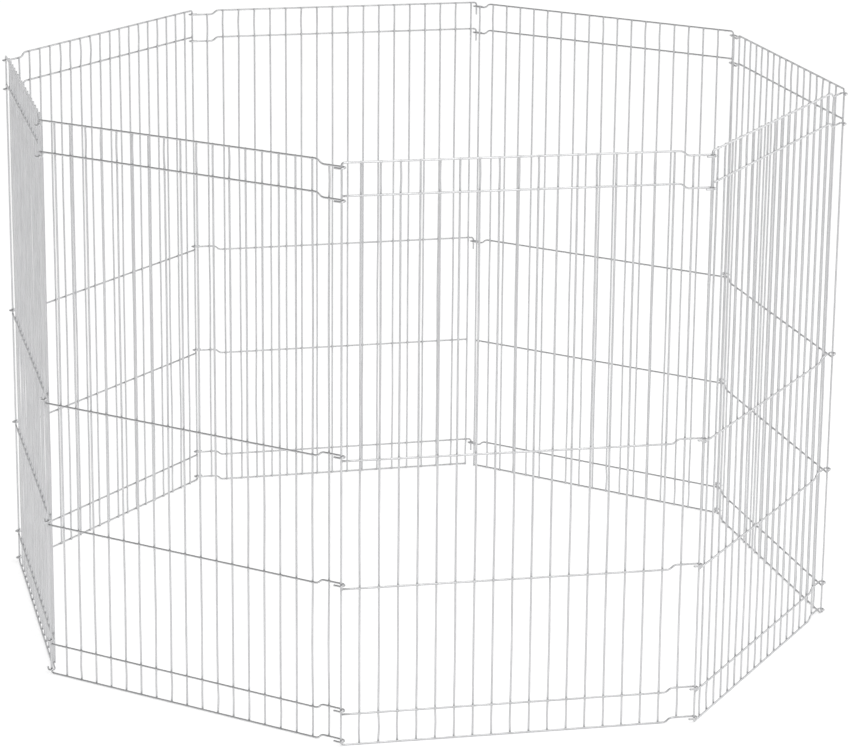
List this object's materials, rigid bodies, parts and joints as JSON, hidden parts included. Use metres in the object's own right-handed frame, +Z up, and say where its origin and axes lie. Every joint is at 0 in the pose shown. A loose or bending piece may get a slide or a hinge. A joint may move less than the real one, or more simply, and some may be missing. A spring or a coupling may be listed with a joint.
{
  "type": "folding wire pet playpen",
  "caption": "Free-standing ring of welded wire panels hinged by wire eyes on bent posts, open at top and floor, closed by drop hooks; folds for storage.",
  "frame": {"origin": "on the floor at the centre of the ring's footprint box", "axes": "+Z up, front panel towards -Y, +X to the right seen from the front"},
  "size_m": [1.1292, 1.1728, 0.7708],
  "materials": {
    "frame_wire": "bright zinc plating, satin",
    "rail_wire": "bright zinc plating, satin",
    "picket_wire": "bright zinc plating, satin"
  },
  "bodies": {
    "panel_4": {"panel_4_frame_wire": "frame_wire", "panel_4_second_rail": "rail_wire", "panel_4_waist_rail": "rail_wire", "panel_4_knee_rail": "rail_wire", "panel_4_toe_rail": "rail_wire", "panel_4_pickets": "picket_wire"},
    "panel_3": {"panel_3_frame_wire": "frame_wire", "panel_3_second_rail": "rail_wire", "panel_3_waist_rail": "rail_wire", "panel_3_knee_rail": "rail_wire", "panel_3_toe_rail": "rail_wire", "panel_3_pickets": "picket_wire"},
    "panel_2": {"panel_2_frame_wire": "frame_wire", "panel_2_second_rail": "rail_wire", "panel_2_waist_rail": "rail_wire", "panel_2_knee_rail": "rail_wire", "panel_2_toe_rail": "rail_wire", "panel_2_pickets": "picket_wire"},
    "panel_1": {"panel_1_frame_wire": "frame_wire", "panel_1_second_rail": "rail_wire", "panel_1_waist_rail": "rail_wire", "panel_1_knee_rail": "rail_wire", "panel_1_toe_rail": "rail_wire", "panel_1_pickets": "picket_wire"},
    "gate_panel": {"gate_panel_top_rail": "rail_wire", "gate_panel_second_rail": "rail_wire", "gate_panel_waist_rail": "rail_wire", "gate_panel_knee_rail": "rail_wire", "gate_panel_toe_rail": "rail_wire", "gate_panel_ground_rail": "rail_wire", "gate_panel_pickets": "picket_wire"},
    "panel_7": {"panel_7_frame_wire": "frame_wire", "panel_7_second_rail": "rail_wire", "panel_7_waist_rail": "rail_wire", "panel_7_knee_rail": "rail_wire", "panel_7_toe_rail": "rail_wire", "panel_7_pickets": "picket_wire"},
    "panel_6": {"panel_6_frame_wire": "frame_wire", "panel_6_second_rail": "rail_wire", "panel_6_waist_rail": "rail_wire", "panel_6_knee_rail": "rail_wire", "panel_6_toe_rail": "rail_wire", "panel_6_pickets": "picket_wire"},
    "panel_5": {"panel_5_frame_wire": "frame_wire", "panel_5_second_rail": "rail_wire", "panel_5_waist_rail": "rail_wire", "panel_5_knee_rail": "rail_wire", "panel_5_toe_rail": "rail_wire", "panel_5_pickets": "picket_wire"}
  },
  "joints": [
    {"name": "fold", "type": "hinge", "parent": "panel_4", "child": "panel_5", "pos_m": [-0.20946, -0.5766, 0], "axis": [0, 0, -1], "range_deg": [0, 105.2]},
    {"name": "panel_6_hinge", "type": "hinge", "parent": "panel_5", "child": "panel_6", "pos_m": [-0.55301, -0.25291, 0], "axis": [0, 0, 1], "range_deg": [0, 222]},
    {"name": "panel_7_hinge", "type": "hinge", "parent": "panel_6", "child": "panel_7", "pos_m": [-0.559, 0.21907, 0], "axis": [0, 0, -1], "range_deg": [0, 105.3]},
    {"name": "panel_3_hinge", "type": "hinge", "parent": "panel_4", "child": "panel_3", "pos_m": [0.26254, -0.58078, 0], "axis": [0, 0, -1], "range_deg": [0, 227.6]},
    {"name": "panel_2_hinge", "type": "hinge", "parent": "panel_3", "child": "panel_2", "pos_m": [0.559, -0.21348, 0], "axis": [0, 0, 1], "range_deg": [0, 107]},
    {"name": "panel_1_hinge", "type": "hinge", "parent": "panel_2", "child": "panel_1", "pos_m": [0.54177, 0.25822, 0], "axis": [0, 0, -1], "range_deg": [0, 219.4]},
    {"name": "gate_hinge", "type": "hinge", "parent": "panel_7", "child": "gate_panel", "pos_m": [-0.24311, 0.56981, 0], "axis": [0, 0, 1], "range_deg": [-43, 222]}
  ],
  "couplings": [
    {"joint": "panel_6_hinge", "follows": "fold", "ratio": 2.11},
    {"joint": "panel_7_hinge", "follows": "fold", "ratio": 1.0006},
    {"joint": "panel_3_hinge", "follows": "fold", "ratio": 2.1634},
    {"joint": "panel_2_hinge", "follows": "fold", "ratio": 1.0171},
    {"joint": "panel_1_hinge", "follows": "fold", "ratio": 2.0855}
  ]
}
